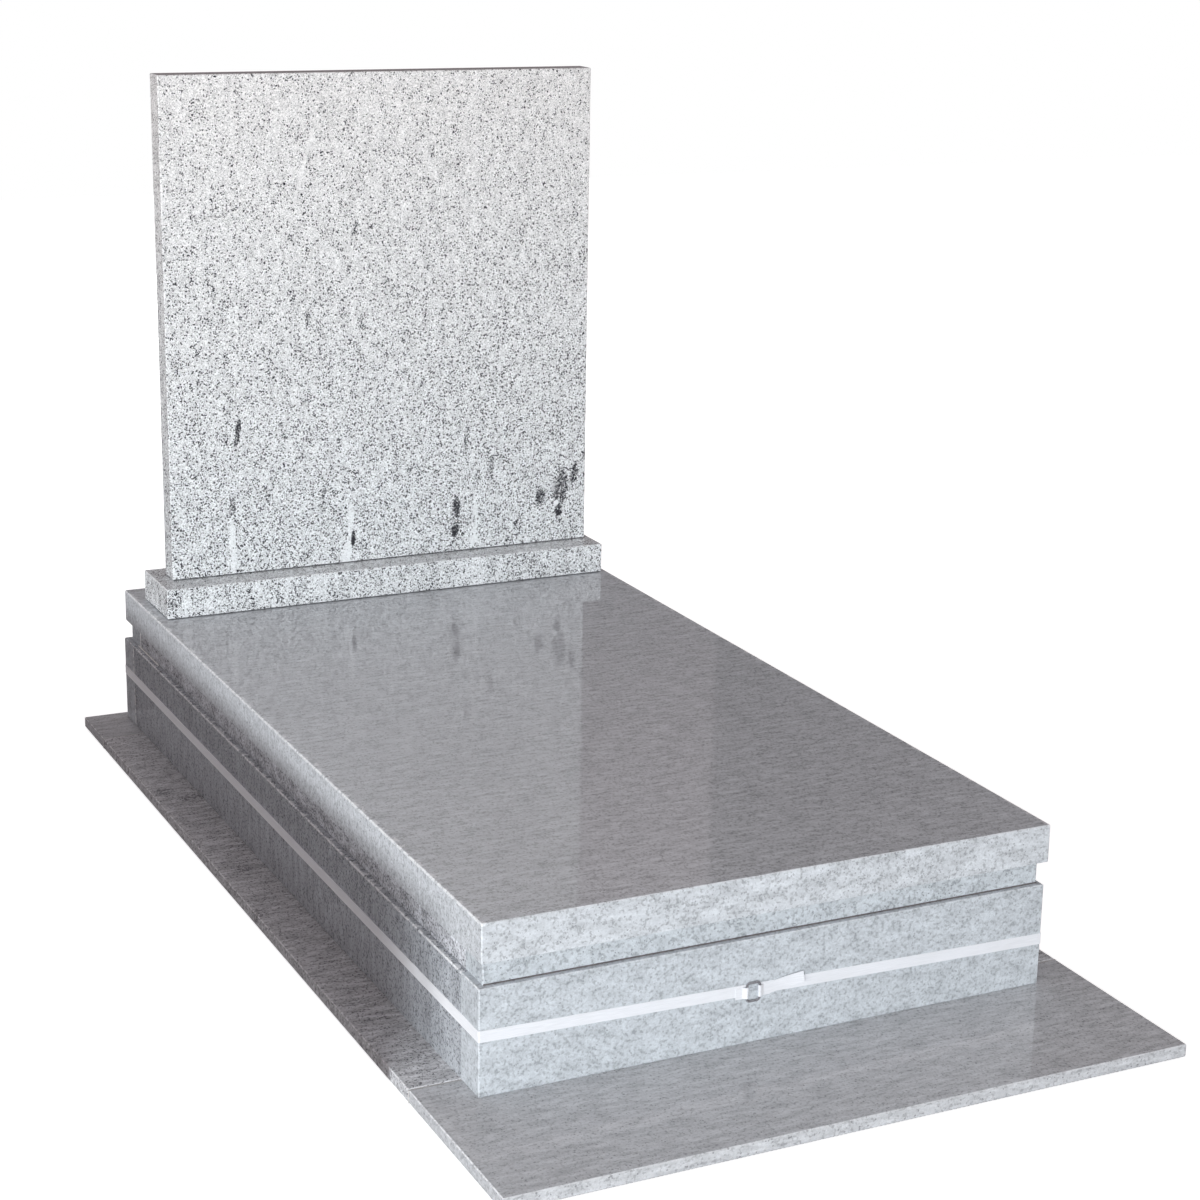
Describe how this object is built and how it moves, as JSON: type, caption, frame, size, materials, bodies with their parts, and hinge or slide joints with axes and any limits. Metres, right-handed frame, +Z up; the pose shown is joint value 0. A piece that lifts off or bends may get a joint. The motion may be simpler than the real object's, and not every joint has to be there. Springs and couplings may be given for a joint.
{
  "type": "granite grave monument with an upright headstone",
  "caption": "single grave monument of polished granite: a plain upright slab on a base, a ledger on a spacer and a kerb box, a flat plinth round the foot, and a packing strap round the kerb",
  "frame": {"origin": "on the ground, at the middle of the plinth's outline", "axes": "+Z up, +Y towards the headstone end, +X to the right seen from the foot end"},
  "size_m": [1.087, 2.074, 1.278],
  "materials": {
    "granite": "polished light grey granite with black specks",
    "sealant": "dark setting bed, matte",
    "grout": "pale joint filling, matte",
    "strap": "white woven plastic strap, satin",
    "wire": "dark coated round wire"
  },
  "bodies": {
    "root": {"headstone": "granite", "headstone_base": "granite", "ledger": "granite", "spacer_front": "granite", "spacer_rear": "granite", "spacer_left": "granite", "spacer_right": "granite", "kerb_front": "granite", "kerb_rear": "granite", "kerb_left": "granite", "kerb_right": "granite", "plinth_front": "granite", "plinth_rear": "granite", "plinth_left": "granite", "plinth_right": "granite", "base_bed": "sealant", "headstone_bed": "sealant", "plinth_grout": "grout", "kerb_glue_lines": "grout", "strap_band": "strap", "strap_fold": "strap", "strap_tail": "strap", "strap_buckle": "wire"}
  },
  "joints": []
}
